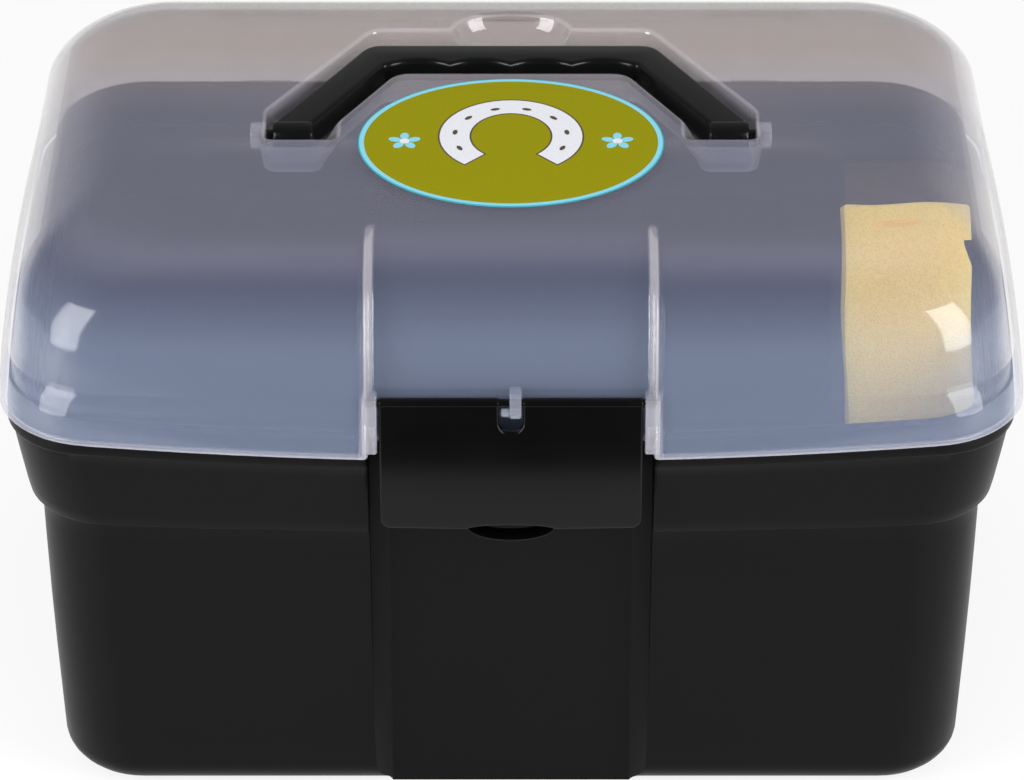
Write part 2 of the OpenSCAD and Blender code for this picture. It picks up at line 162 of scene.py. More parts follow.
def ellipse(half_w, half_d, sides):
    turns = [2 * math.pi * i / sides for i in range(sides)]
    return [(half_w * math.cos(a), half_d * math.sin(a)) for a in turns]


def level(points, z):
    return [(x, y, z) for x, y in points]


def meet(a, b, c, d):
    """Where the line through a and b meets the line through c and d."""
    rx, ry, sx, sy = b[0] - a[0], b[1] - a[1], d[0] - c[0], d[1] - c[1]
    k = ((c[0] - a[0]) * sy - (c[1] - a[1]) * sx) / (rx * sy - ry * sx)
    return a[0] + k * rx, a[1] + k * ry


def bow(z):
    """Share of the bow at height z: full at the skirt's edge, none at the base and the top."""
    if z < SKIRT_Z:
        return (z / SKIRT_Z) ** 2
    return max(0.0, 1 - (z - SKIRT_Z) / (LID_TOP - SKIRT_Z)) ** 1.5


def front_y(front, x, z):
    return -front + FRONT_BOW * bow(z) * (x / CORNER_X) ** 2


def plan(half_w, front, back, radii, z, notch):
    """Plan of the box at height z, with a bowed front and sides and a notch in the front.

    radii are those of the front and back corners; notch holds the corners of its right half.
    """
    near_r, far_r = radii
    edge = half_w - CORNER_SHARE * near_r
    across = [edge - k * (edge - FRONT_FROM) / 5 for k in range(5, -1, -1)]
    face = [(x, front_y(front, x, z)) for x in across]
    low = -front + FRONT_BOW * bow(z) + CORNER_SHARE * near_r
    high = back - CORNER_SHARE * far_r
    along = [low + k * (high - low) / 8 for k in range(9)]
    side = [(half_w - SIDE_BOW * bow(z) * ((y - SIDE_MIDDLE) / SIDE_HALF) ** 2, y) for y in along]
    near = meet(face[-2], face[-1], side[0], side[1])
    far = meet((0, back), (half_w, back), side[-2], side[-1])
    beside = notch[-1][0] + BESIDE_NOTCH
    face.insert(0, (beside, front_y(front, beside, z)))
    right = list(notch) + [(x, y, 0, 0) for x, y in face] + [(*near, near_r, CORNER_STEPS)]
    right += [(x, y, 0, 0) for x, y in side] + [(*far, far_r, CORNER_STEPS)]
    return level(outline(right + mirrored(right)), z)


def bar_x(skin, corners, x0, x1, edge=0.4):
    """A profile of Y and Z, run along X, with its end edges eased."""
    rows = [(x0, -edge), (x0 + edge, 0.0), (x1 - edge, 0.0), (x1, -edge)]
    skin.solid([[(x, y, z) for y, z in outline(corners, g)] for x, g in rows])


def round_bar(skin, x0, x1, y, z, r, edge=0.5, sides=32):
    """A round bar along X, with its end edges eased."""
    rows = [(x0, r - edge), (x0 + edge * 0.3, r - edge * 0.3), (x0 + edge, r)]
    rows += [(x1 - edge, r), (x1 - edge * 0.3, r - edge * 0.3), (x1, r - edge)]
    skin.solid([[(x, y + dy, z + dz) for dy, dz in ellipse(q, q, sides)] for x, q in rows])


def mesh_of(name, skin, material, sharp=38):
    """The skin as a smooth mesh with outward faces; edges that turn by more degrees than sharp stay sharp."""
    mesh = bpy.data.meshes.new(name)
    mesh.from_pydata([[c * MM for c in p] for p in skin.points], [], skin.faces)
    work = bmesh.new()
    work.from_mesh(mesh)
    bmesh.ops.remove_doubles(work, verts=work.verts, dist=MERGE)
    bmesh.ops.recalc_face_normals(work, faces=work.faces)
    work.to_mesh(mesh)
    work.free()
    mesh.shade_smooth()
    mesh.set_sharp_from_angle(angle=math.radians(sharp))
    mesh.materials.append(material)
    return mesh


def place(name, mesh, body, node):
    obj = bpy.data.objects.new(name, mesh)
    scene.collection.objects.link(obj)
    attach(obj, body)
    if node:
        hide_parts(node)
    return obj


# Materials

def colour(code):
    """An sRGB hex colour as linear values."""
    parts = [int(code[i:i + 2], 16) / 255 for i in (1, 3, 5)]
    return [c / 12.92 if c <= 0.04045 else ((c + 0.055) / 1.055) ** 2.4 for c in parts] + [1.0]


def add(tree, kind, inputs=None, **settings):
    """A node with its settings; an input is a value or the socket that feeds it."""
    made = tree.nodes.new(kind)
    for name, value in settings.items():
        setattr(made, name, value)
    for name, value in (inputs or {}).items():
        if isinstance(value, bpy.types.NodeSocket):
            tree.links.new(value, made.inputs[name])
        else:
            made.inputs[name].default_value = value
    return made


def material(name):
    made = bpy.data.materials.new(name)
    made.use_nodes = True
    made.node_tree.nodes.clear()
    return made, made.node_tree


def finish_material(tree, shader):
    add(tree, "ShaderNodeOutputMaterial", {"Surface": shader.outputs[0]})


def per_mm(size):
    """Texture scale for a pattern of that size in millimetres."""
    return 1.0 / (size * MM)


def black_plastic(name, dark, light, rough, specular, grain):
    """Black polypropylene from a mould: near-black with faint flow clouds and a fine spark-eroded grain.

    grain is its size in millimetres, coarser than on a real mould so that it shows.
    """
    made, tree = material(name)
    where = add(tree, "ShaderNodeTexCoord").outputs["Object"]
    clouds = add(tree, "ShaderNodeTexNoise", {
        "Vector": where, "Scale": per_mm(60), "Detail": 3.0, "Roughness": 0.6}).outputs["Fac"]
    skin = add(tree, "ShaderNodeTexNoise", {"Vector": where, "Scale": per_mm(grain), "Detail": 2.0})
    tone = add(tree, "ShaderNodeMix", {
        "Factor": clouds, "A": colour(dark), "B": colour(light)}, data_type="RGBA")
    gloss = add(tree, "ShaderNodeMapRange", {
        "Value": clouds, "From Min": 0.3, "From Max": 0.7, "To Min": rough - 0.05, "To Max": rough + 0.05})
    bump = add(tree, "ShaderNodeBump", {
        "Height": skin.outputs["Fac"], "Strength": 0.12, "Distance": 0.12 * MM})
    shader = add(tree, "ShaderNodeBsdfPrincipled", {
        "Base Color": tone.outputs["Result"], "Roughness": gloss.outputs["Result"], "IOR": 1.49,
        "Specular IOR Level": specular, "Normal": bump.outputs["Normal"]})
    finish_material(tree, shader)
    return made


def frosted_lid():
    """Natural polypropylene, moulded: milky and glossy, bluish over dark, and warmer at the back in a painted
    tone that stands in for the light coming through it there.

    It is whiter where its wall is thicker or where a wall is seen along its length, and where painted
    highlights and painted light are drawn into the wall.
    """
    made, tree = material("polypropylene_natural_moulded")
    where = add(tree, "ShaderNodeTexCoord").outputs["Object"]
    clouds = add(tree, "ShaderNodeTexNoise", {"Vector": where, "Scale": per_mm(45), "Detail": 3.0})
    waves = add(tree, "ShaderNodeTexNoise", {"Vector": where, "Scale": per_mm(9), "Detail": 1.0})
    spot = add(tree, "ShaderNodeSeparateXYZ", {"Vector": where}).outputs
    # Painted light and painted highlights come in with this attribute, besides the scatter of thicker plastic
    thickness_and_painted_light = add(tree, "ShaderNodeAttribute", attribute_name="milk_and_painted_light").outputs["Fac"]
    facing = add(tree, "ShaderNodeLayerWeight", {"Blend": 0.5}).outputs["Facing"]
    along = add(tree, "ShaderNodeMapRange", {
        "Value": facing, "From Min": 0.5, "From Max": 0.8, "To Max": 0.95}).outputs["Result"]
    milk_and_painted_light = add(tree, "ShaderNodeMath", {0: thickness_and_painted_light, 1: along}, operation="MAXIMUM").outputs[0]
    # Painted shade and light: the tone darkens up the shoulder, lightens again at the flat top and turns warm
    # towards the back; it also whitens where the wall is drawn milkier
    rise, flat, rear = (
        add(tree, "ShaderNodeMapRange", {
            "Value": spot[axis], "From Min": low * MM, "From Max": high * MM}).outputs["Result"]
        for axis, low, high in (("Z", 162, 184), ("Z", 178, 183.5), ("Y", 4, 40)))
    tone = colour("#a3b1d1")
    for share, code in ((rise, "#777c9d"), (flat, "#a7a8c4"), (rear, "#ac9894"), (milk_and_painted_light, "#c9c5cb")):
        tone = add(tree, "ShaderNodeMix", {
            "Factor": share, "A": tone, "B": colour(code)}, data_type="RGBA").outputs["Result"]
    clear = add(tree, "ShaderNodeMapRange", {"Value": rear, "To Min": 0.24, "To Max": 0.39})
    body = add(tree, "ShaderNodeMapRange", {
        "Value": milk_and_painted_light, "To Min": clear.outputs["Result"], "To Max": 0.62})
    gloss = add(tree, "ShaderNodeMapRange", {
        "Value": clouds.outputs["Fac"], "From Min": 0.3, "From Max": 0.7, "To Min": 0.13, "To Max": 0.18})
    bump = add(tree, "ShaderNodeBump", {
        "Height": waves.outputs["Fac"], "Strength": 0.05, "Distance": 0.3 * MM})
    shader = add(tree, "ShaderNodeBsdfPrincipled", {
        "Base Color": tone, "Roughness": gloss.outputs["Result"], "IOR": 1.49,
        "Alpha": body.outputs["Result"], "Transmission Weight": 0.25,
        "Coat Weight": 1.0, "Coat Roughness": 0.05, "Coat IOR": 1.75, "Normal": bump.outputs["Normal"]})
    finish_material(tree, shader)
    return made


def drawn_steel():
    """Bright drawn steel rod: fine draw lines along its length."""
    made, tree = material("steel_drawn")
    where = add(tree, "ShaderNodeTexCoord").outputs["Object"]
    along = add(tree, "ShaderNodeMapping", {"Vector": where, "Scale": (0.04, 1.0, 1.0)})
    lines = add(tree, "ShaderNodeTexNoise", {
        "Vector": along.outputs["Vector"], "Scale": per_mm(0.4), "Detail": 2.0}).outputs["Fac"]
    tone = add(tree, "ShaderNodeMix", {
        "Factor": lines, "A": colour("#8f9296"), "B": colour("#b9bcc0")}, data_type="RGBA")
    gloss = add(tree, "ShaderNodeMapRange", {"Value": lines, "To Min": 0.22, "To Max": 0.38})
    shader = add(tree, "ShaderNodeBsdfPrincipled", {
        "Base Color": tone.outputs["Result"], "Metallic": 1.0, "Roughness": gloss.outputs["Result"]})
    finish_material(tree, shader)
    return made


def foam():
    """Cut open-cell polyurethane foam: matt, honey yellow, pitted with pores of about 1 mm."""
    made, tree = material("polyurethane_foam_cut")
    where = add(tree, "ShaderNodeTexCoord").outputs["Object"]
    pores = add(tree, "ShaderNodeTexVoronoi", {"Vector": where, "Scale": per_mm(0.8)})
    clouds = add(tree, "ShaderNodeTexNoise", {"Vector": where, "Scale": per_mm(14), "Detail": 3.0})
    pits = add(tree, "ShaderNodeMapRange", {
        "Value": pores.outputs["Distance"], "From Min": 0.1, "From Max": 0.5}).outputs["Result"]
    base = add(tree, "ShaderNodeMix", {
        "Factor": clouds.outputs["Fac"], "A": colour("#ffd46e"), "B": colour("#ffdb7e")}, data_type="RGBA")
    # Painted shade: the colour is darker in the pits of the pores
    tone = add(tree, "ShaderNodeMix", {
        "Factor": pits, "A": colour("#f6c75e"), "B": base.outputs["Result"]}, data_type="RGBA")
    bump = add(tree, "ShaderNodeBump", {"Height": pits, "Strength": 0.4, "Distance": 0.5 * MM})
    shader = add(tree, "ShaderNodeBsdfPrincipled", {
        "Base Color": tone.outputs["Result"], "Roughness": 0.95, "Specular IOR Level": 0.1,
        "Subsurface Weight": 0.5, "Subsurface Radius": (1.0, 0.75, 0.4), "Subsurface Scale": 20 * MM,
        "Normal": bump.outputs["Normal"]})
    finish_material(tree, shader)
    return made


def printed_vinyl():
    """Printed vinyl: flat inks under a clear film, with a faint stipple of print dots."""
    made, tree = material("vinyl_printed")
    where = add(tree, "ShaderNodeTexCoord").outputs["Object"]
    ink = add(tree, "ShaderNodeVertexColor", layer_name="ink")
    dots = add(tree, "ShaderNodeTexNoise", {"Vector": where, "Scale": per_mm(0.7), "Detail": 1.0})
    film = add(tree, "ShaderNodeTexNoise", {"Vector": where, "Scale": per_mm(22), "Detail": 2.0})
    shade = add(tree, "ShaderNodeMapRange", {
        "Value": dots.outputs["Fac"], "To Min": 0.9, "To Max": 1.06})
    tone = add(tree, "ShaderNodeVectorMath", {
        0: ink.outputs["Color"], "Scale": shade.outputs["Result"]}, operation="SCALE")
    gloss = add(tree, "ShaderNodeMapRange", {
        "Value": film.outputs["Fac"], "To Min": 0.3, "To Max": 0.42})
    shader = add(tree, "ShaderNodeBsdfPrincipled", {
        "Base Color": tone.outputs["Vector"], "Roughness": gloss.outputs["Result"],
        "IOR": 1.5, "Specular IOR Level": 0.04})
    finish_material(tree, shader)
    return made


TUB_BLACK = black_plastic("polypropylene_black_moulded", "#070707", "#0a0a0a", 0.36, 0.11, 0.8)
LATCH_BLACK = black_plastic("polypropylene_black_polished", "#030303", "#060606", 0.2, 0.21, 1.2)
HANDLE_BLACK = black_plastic("polypropylene_black_satin", "#070808", "#0a0b0b", 0.2, 0.3, 0.7)
TRAY_BLACK = black_plastic("polypropylene_black_matt", "#0f0f10", "#141415", 0.5, 0.12, 0.8)
LID_CLEAR = frosted_lid()
STEEL = drawn_steel()
FOAM = foam()
VINYL = printed_vinyl()


# Lid

# Outer face of the skirt and the wall: distance out from the corner middles, and height
SKIRT_OUTSIDE = [
    (37.3, 132.0), (37.75, 132.15), (38.0, 132.6), (37.95, 133.3), (37.9, 134.0), (37.2, 138.0),
    (36.15, 142.0), (35.1, 145.0), (34.15, 147.0), (33.55, 147.95), (33.4, 148.2), (33.35, 148.7)]
WALL_OUTSIDE = [(32.75, 152.5), (31.95, 157.0), (30.98, 162.0)]
# Inner face, with the step that passes over the tub's rim
SKIRT_INSIDE = [
    (36.7, 132.0), (36.2, 132.2), (36.0, 132.6), (35.9, 133.3), (35.15, 138.0), (34.3, STEP_Z),
    (33.3, STEP_Z), (33.1, 142.4), (32.7, 145.0), (31.8, 147.4), (31.35, 148.7)]
WALL_INSIDE = [(30.8, 152.5), (30.0, 157.0), (29.05, 162.0)]
SHOULDER_TURNS = [math.radians(20 + 70 * i / 16) for i in range(17)]
# Width of the flat border inside the shoulder, and how far out the skirt reaches
TOP_BORDER, SKIRT_OUT = 2.5, 38.0
# How far the front wall stands proud, the skirt flares, and the back's top is set in and falls away
FRONT_PROUD, SKIRT_FLARE, BACK_SET, BACK_FALL = 3.0, 1.7, 1.5, 30.0
# Corner radii: in front, at the back of the top, and how much more the skirt has at the back
FRONT_R, BACK_R, BACK_R_GAIN = 30.5, 16.0, 22.0
# The channel's floor lies no further out than this
CHANNEL_FLOOR = 97.2
RECESS_DEEP = 10.0
# Space that the recess, its bosses and the flat behind it take in the lid
RECESS_HALF, RECESS_FRONT, RECESS_BACK, RECESS_LOW = 80.0, -17.0, 67.5, 173.0


def shoulder(radius):
    """The rounded shoulder and the narrow flat border inside it."""
    arc = [(SHOULDER_IN + radius * math.cos(a), SHOULDER_Z + radius * math.sin(a)) for a in SHOULDER_TURNS]
    return arc + [(SHOULDER_IN - TOP_BORDER, SHOULDER_Z + radius)]


def lid_plan(out, z):
    """Half width, front and back of the lid; the front wall stands proud and the back shoulder falls away."""
    rise = max(0.0, (z - CREASE_Z) / (LID_TOP - CREASE_Z))
    drop = max(0.0, (CREASE_Z - z) / (CREASE_Z - SKIRT_Z))
    front = CORNER_Y + out + FRONT_PROUD * (1 - rise) ** 1.4 + SKIRT_FLARE * drop
    back = CORNER_Y + out - BACK_SET * rise ** 4 - BACK_FALL * rise ** 3 * (1 - rise)
    return CORNER_X + out, front, back


def lid_ring(out, z, inset=0.0):
    """Plan of the lid's outer face, or of its inner face where inset is the wall."""
    half_w, front, back = lid_plan(out, z)
    floor = min(front + inset - CHANNEL_DEEP, CHANNEL_FLOOR) - inset
    edge = CHANNEL_HALF + inset
    notch = [(edge - 1.4, -floor, 2.0 + inset, 3), (edge, front_y(front, edge, z), 1.3, 4)]
    share = (out + inset - SHOULDER_IN) / (SKIRT_OUT - SHOULDER_IN)
    radii = (FRONT_R - inset, BACK_R + BACK_R_GAIN * share - inset)
    return plan(half_w, front, back, radii, z, notch)


def recess_corners(deep):
    """Plan of the handle's recess at a share of its depth, with the finger scoop behind the grip.

    The tongue is the flat between the handle's legs, which the recess runs round.
    """
    def between(top, low):
        return top + (low - top) * deep
    outer_x, back_x = between(74.3, 73.2), between(43.4, 42.6)
    front, turn, back = between(-14.3, -13.2), 3.0, between(54.4, 53.0)
    tongue_x, tongue_back_x = between(52.3, 58.6), between(35.3, 40.5)
    tongue_turn, tongue_back = between(-3.5, -4.5), between(26.5, 30.0)
    bowl = math.sqrt(max(0.05, 1 - (deep * 0.93) ** 2))
    scoop_x, scoop_y = 18.3 * bowl, 10.8 * bowl
    turns = [math.pi * i / 24 for i in range(1, 24)]
    scoop = [(scoop_x * math.cos(a), back + scoop_y * math.sin(a), 0, 0) for a in turns]
    right = [(outer_x, front, 2.5, 4), (outer_x, turn, 6.0, 4), (back_x, back, 6.0, 5)]
    right.append((scoop_x + 0.6, back, 0, 0))
    tongue = [(tongue_back_x, tongue_back, 7.0, 5), (tongue_x, tongue_turn, 6.0, 4)]
    tongue.append((tongue_x, front, 2.0, 3))
    return right + scoop + mirrored(right) + mirrored(tongue) + tongue


def milkiness_and_painted_light(x, y, z):
    """How milky the wall is drawn: more in the recess, the channel's sides and the skirt's edge. The skirt's
    edge and the lugs are thicker plastic; the recess's walls carry painted light, most beside the handle's
    legs where the handle shades them, and the recess's lip and the channel's sides carry painted highlights.
    """
    if z < SKIRT_Z + 1.2:
        return 0.8
    by_front_lug, by_end_lug = x < 4, 38 < x < 44
    if y < -98 and z < 150 and (by_front_lug or by_end_lug):
        return 0.5 if by_front_lug else 0.8
    # Painted light on the recess's walls, strongest beside the handle's legs where the handle shades them,
    # and a painted highlight along its lip
    if x < RECESS_HALF and RECESS_FRONT < y < RECESS_BACK and z > RECESS_LOW:
        on_flat = min(abs(z - LID_TOP), abs(z - LID_TOP + LID_WALL)) < 0.05
        on_lip = z > LID_TOP - 0.8
        beside_legs = -10 < y < 50
        return 0.06 if on_flat else 0.75 if on_lip else 0.85 if beside_legs else 0.24
    # Painted highlight along the channel's sides
    on_channel_side = CHANNEL_HALF - 1.7 < x < CHANNEL_HALF + 0.9
    if on_channel_side and y < -62 and z < LID_TOP - 0.3:
        return 0.85
    return 0.0


def lid_mesh():
    """The dome with its recess, the latch's lugs, the hinge's knuckles and the handle's bosses."""
    skin = Skin()
    outside = SKIRT_OUTSIDE + WALL_OUTSIDE + shoulder(SHOULDER_R)
    inside = SKIRT_INSIDE + WALL_INSIDE + shoulder(SHOULDER_R - LID_WALL)
    foot_out, top_out = skin.walls([lid_ring(out, z) for out, z in outside])
    foot_in, top_in = skin.walls([lid_ring(out, z, LID_WALL) for out, z in inside])
    skin.bridge(foot_out, foot_in)
    # The recess: a rounded lip, sloping walls and a floor, and the back of its wall
    lip = [(1.2, 0.0), (0.72, 0.1), (0.35, 0.35), (0.1, 0.72), (0.0, 1.2)]
    walls = [(0.0, d) for d in (3.0, 4.5, 6.0, 7.2, 8.2)]
    foot = [(-0.12, 8.9), (-0.5, 9.5), (-1.2, 9.9), (-1.9, RECESS_DEEP)]
    behind = [(LID_WALL, d) for d in (2.0, 4.0, 6.0, 8.0, RECESS_DEEP)] + [(1.6, 11.4), (0.6, 12.0)]
    for edge, rows in ((top_out, lip + walls + foot), (top_in, behind)):
        rings = []
        for grow, d in rows:
            corners = recess_corners(min(1.0, d / RECESS_DEEP))
            rings.append(level(outline(corners, grow), LID_TOP - d))
        top, floor = skin.walls(rings)
        skin.fill(edge, top)
        skin.fill(floor)
    # Lugs for the latch's axle, at its ends and in its notch
    back = -96.4
    end_lug = [(-105.2, 132.2, 0.6, 3), (back, 132.2, 0.6, 2), (back, 149.2, 0.6, 2),
               (-103.2, 149.2, 2.4, 6), (-104.8, 142.0, 3.0, 4)]
    tall_lug = [(-103.9, 143.2, 1.2, 4), (back, 143.2, 0.6, 2),
                (back, 150.6, 0.6, 2), (-102.2, 149.8, 1.6, 4)]
    low_lug = [(-102.6, 143.4, 0.8, 3), (back, 143.4, 0.6, 2),
               (back, 146.2, 0.6, 2), (-102.6, 146.2, 0.8, 3)]
    for profile, x0, x1 in ((end_lug, -43.2, -38.9), (end_lug, 38.9, 43.2),
                            (tall_lug, -0.4, 3.0), (low_lug, -2.9, -0.3)):
        bar_x(skin, profile, x0, x1)
    # Knuckles of the rear hinge, each with a gusset up the skirt
    half = 8.0
    gusset = [(103.2, SKIRT_Z + 0.4, 0.3, 2), (HINGE_Y, HINGE_Z - KNUCKLE_R + 0.1, 0.5, 2),
              (HINGE_Y + 3.0, HINGE_Z + 2.6, 1.0, 3), (103.5, 140.5, 0.8, 3), (102.8, 140.5, 0.2, 2)]
    for x in (-HINGE_X, HINGE_X):
        round_bar(skin, x - half, x + half, HINGE_Y, HINGE_Z, KNUCKLE_R)
        bar_x(skin, gusset, x - half + 0.1, x + half - 0.1)
    # Bosses behind the recess for the handle's stubs
    for x0, x1 in ((74.2, 79.0), (-79.0, -74.2)):
        round_bar(skin, x0, x1, PIVOT_Y, PIVOT_Z, 4.0)
    mesh = mesh_of("lid", skin, LID_CLEAR)
    # This attribute carries painted light and painted highlights as well as the scatter of thicker plastic
    milk_and_painted_light = mesh.attributes.new("milk_and_painted_light", "FLOAT", "POINT")
    for point in mesh.vertices:
        x, y, z = (c / MM for c in point.co)
        milk_and_painted_light.data[point.index].value = milkiness_and_painted_light(abs(x), y, z)
    return mesh


# Tub

# Half width, front and back at the band's foot, what each draws in to the base, and its share of the flare
TUB_REACH, TUB_DRAFT, TUB_FLARE = (142.8, 96.0, 93.3), (4.6, 2.9, 2.2), (1.24, 1.0, 1.06)
# The rim's rise to the back starts at this height, is full this much higher, and runs over twice this half
RISE_Z, RISE_RUN, RISE_HALF = 133.0, 0.8, 100.0
# Radius of the base's edge, and of its corners seen from above
BASE_R, BASE_CORNER_R = 10.0, 14.0


def tub_notch(front, z, inset, wide):
    """Right half of the sunk front panel: its face, the slanted side and the band's end."""
    slope = inset * math.tan(math.radians(22.5))
    x1, y1 = PANEL_HALF + slope + wide, PANEL_Y - inset
    edge = CHANNEL_HALF + inset + wide
    front = -front_y(front, edge, z)
    deep = min(edge - x1, max(0.04, front - y1))
    end = max(front, y1 + deep + 0.03)
    return [(x1, -y1, 1.2, 3), (x1 + deep, -y1 - deep, 0.9, 3), (x1 + deep + 0.02, -end, 1.0, 3)]


def tub_ring(out, radius, z, wide=0.0, inset=0.0):
    """Plan of the tub: out is the distance beyond the wall's top edge."""
    lean = 1 - min(1.0, z / BAND_Z)
    half_w, front, back = (reach - draft * lean + flare * out - inset
                           for reach, draft, flare in zip(TUB_REACH, TUB_DRAFT, TUB_FLARE))
    radii = (radius, radius + 1.2 * max(0.0, out))
    ring = plan(half_w, front, back, radii, z, tub_notch(front, z, inset, wide))
    rise = RIM_RISE * min(1.0, max(0.0, (z - RISE_Z) / RISE_RUN))
    return [(x, y, z + rise * (y + RISE_HALF) / (2 * RISE_HALF)) for x, y, z in ring]


def base_edge(radius, turns):
    """Rows round the edge of the base."""
    arc = [(radius * math.cos(a), radius * math.sin(a)) for a in turns]
    return [(out - radius, BASE_CORNER_R + out, BASE_R + up) for out, up in arc]


def tub_mesh():
    """Rounded base, straight walls, flared band and rim, with the catch and the hinge's knuckles."""
    skin = Skin()
    # Rows up the outside: distance out, corner radius, height, and how much wider the panel's notch is
    rows = base_edge(BASE_R, [math.radians(-90 + 90 * i / 8) for i in range(9)])
    rows += [(0.0, 24.5, z) for z in (20, 40, 60, 80, 92, 98.2)]
    rows += [(0.3, 25, 99.1), (1.0, 25.5, 99.5), (1.9, 26, 99.6), (2.5, 26, 99.9), (2.8, 26, 100.5)]
    rows += [(2.8 + 4.2 * (z - 100) / 26, 26, z) for z in (104, 110, 116, 122, 125.4)]
    rows += [(7.2, 24.5, 125.8), (7.5, 24.5, 126.1), (7.7, 24.5, 126.6), (7.7, 24.5, 128.0)]
    rows += [(7.7, 24.5, 129.5, 3), (7.7, 24.5, 131.6, 3), (3.4, 24, 133.2, 3)]
    rows += [(3.4, 24, RIM_Z - 0.8, 3), (3.2, 23.8, RIM_Z - 0.2, 3), (2.8, 23.4, RIM_Z, 3)]
    base, rim = skin.walls([tub_ring(*row) for row in rows])
    skin.fill(base)
    # Rows down the inside: rim, band, the tray's ledge, wall and floor
    rows = [(4.0, 22.8, RIM_Z, 3), (3.6, 22.4, RIM_Z - 0.2, 3), (3.4, 22.2, RIM_Z - 0.8, 3)]
    rows.append((3.4, 22.2, 128.0, 3))
    rows += [(5.0, 22.6, 125.0), (3.4, 23.6, 104.0), (2.8, 23.4, 102.4)]
    rows += [(2.2, 23, LEDGE_Z), (0.5, 22.4, LEDGE_Z), (0.0, 22, LEDGE_Z - 0.4)]
    rows += [(0.0, 22, z) for z in (96, 70, 40, 20)]
    rows += base_edge(BASE_R - TUB_WALL, [math.radians(-90 * i / 5) for i in range(6)])
    top, floor = skin.walls([tub_ring(*row, inset=TUB_WALL) for row in rows])
    skin.bridge(rim, top)
    skin.fill(floor)
    # The ledge under the latch that its hook grips
    catch = [(-92.5, 113.0, 0.3, 2), (-87.6, 110.2, 0.1, 1), (-87.6, 116.8, 0.1, 1), (-92.5, 114.4, 0.5, 2)]
    bar_x(skin, catch, -17, 17)
    # Hinge knuckles on webs that rise from the band
    half, apart = 4.0, 12.5
    web = [(97.0, 111.5, 0.5, 2), (HINGE_Y + 3.2, HINGE_Z - 2.4, 0.8, 2),
           (HINGE_Y - 3.2, HINGE_Z + 2.2, 0.5, 2), (99.0, 130.0, 0.5, 2)]
    for x in (-HINGE_X - apart, -HINGE_X + apart, HINGE_X - apart, HINGE_X + apart):
        round_bar(skin, x - half, x + half, HINGE_Y, HINGE_Z, KNUCKLE_R)
        bar_x(skin, web, x - half + 0.1, x + half - 0.1)
    return mesh_of("tub", skin, TUB_BLACK)


# Tray

# How far the tray's outer and inner faces are set in from the tub's plan
TRAY_OUTSIDE, TRAY_INSIDE = 3.6, 5.6


def tray_mesh():
    """A shallow tray with a rounded lip, which follows the inside of the tub's band."""
    skin = Skin()
    outer = [(1.2, 20, 102.2), (2.0, 20.5, 102.4), (2.4, 20.8, 102.9), (2.9, 21.2, 112.0), (3.2, 21.6, 122.0),
             (3.4, 22, 129.0), (3.4, 22, 130.2), (3.2, 21.8, 130.7), (2.8, 21.6, 130.8)]
    inner = [(4.0, 21, 130.8), (3.6, 20.6, 130.6), (3.4, 20.4, 130.2), (3.4, 20.2, 129.0), (3.2, 20, 122.0),
             (2.9, 19.6, 112.0), (2.2, 19, 106.4), (1.2, 18.2, 104.8), (-0.4, 17, 104.2)]
    foot, rim = skin.walls([tub_ring(*row, inset=TRAY_OUTSIDE) for row in outer])
    lip, floor = skin.walls([tub_ring(*row, inset=TRAY_INSIDE) for row in inner])
    skin.bridge(rim, lip)
    skin.fill(foot)
    skin.fill(floor)
    return mesh_of("tray", skin, TRAY_BLACK)


# Handle

# The grip when folded: its front and back, and half its length along the back
GRIP_FRONT, GRIP_BACK, GRIP_HALF = 33.0, 45.5, 44.5
# Finger dips: how many, their spacing and their depth
DIPS, DIP_PITCH, DIP_DEEP = 4, 18.9, 2.8


def finger_dips():
    """Points along the front of the grip from right to left: one arc for each finger."""
    radius = (DIP_PITCH * DIP_PITCH / 4 + DIP_DEEP * DIP_DEEP) / (2 * DIP_DEEP)
    points = []
    for i in range(DIPS):
        middle = ((DIPS - 1) / 2 - i) * DIP_PITCH
        for k in range(1 if i else 0, 13):
            x = DIP_PITCH / 2 * (1 - k / 6)
            drop = math.sqrt(radius * radius - x * x) - (radius - DIP_DEEP)
            points.append((middle + x, GRIP_FRONT + drop))
    return points


def handle_mesh():
    """The bail: grip with finger dips, two slanted legs, round ends and the stubs that it turns on."""
    skin = Skin()
    slope = (LEG_OUT - GRIP_HALF) / (GRIP_BACK - PIVOT_Y)
    grip_in = LEG_IN - (GRIP_FRONT - PIVOT_Y) * slope
    outside = [(LEG_OUT, PIVOT_Y, 0, 0), (GRIP_HALF, GRIP_BACK, 7.0, 6)]
    inside = [(grip_in, GRIP_FRONT, 5.0, 5), (LEG_IN, PIVOT_Y, 0, 0)]
    dips = [(x, y, 0, 0) for x, y in reversed(finger_dips())]
    corners = outside + mirrored(outside) + mirrored(inside) + dips + inside
    ease = [(-1.5, 0.0), (-0.9, 0.15), (-0.35, 0.55), (-0.08, 1.0), (0.0, 1.6)]
    rows = [(grow, HANDLE_TOP - HANDLE_H + d) for grow, d in ease]
    rows += [(grow, HANDLE_TOP - d) for grow, d in reversed(ease)]
    skin.solid([level(outline(corners, grow), z) for grow, z in rows])
    for x0, x1 in ((LEG_IN, LEG_OUT), (-LEG_OUT, -LEG_IN)):
        round_bar(skin, x0, x1, PIVOT_Y, PIVOT_Z, HANDLE_H / 2, 1.2, 40)
    for x0, x1 in ((70.3, 77.0), (-77.0, -70.3)):
        round_bar(skin, x0, x1, PIVOT_Y, PIVOT_Z, 2.0, 0.4, 24)
    return mesh_of("handle", skin, HANDLE_BLACK)


# Latch

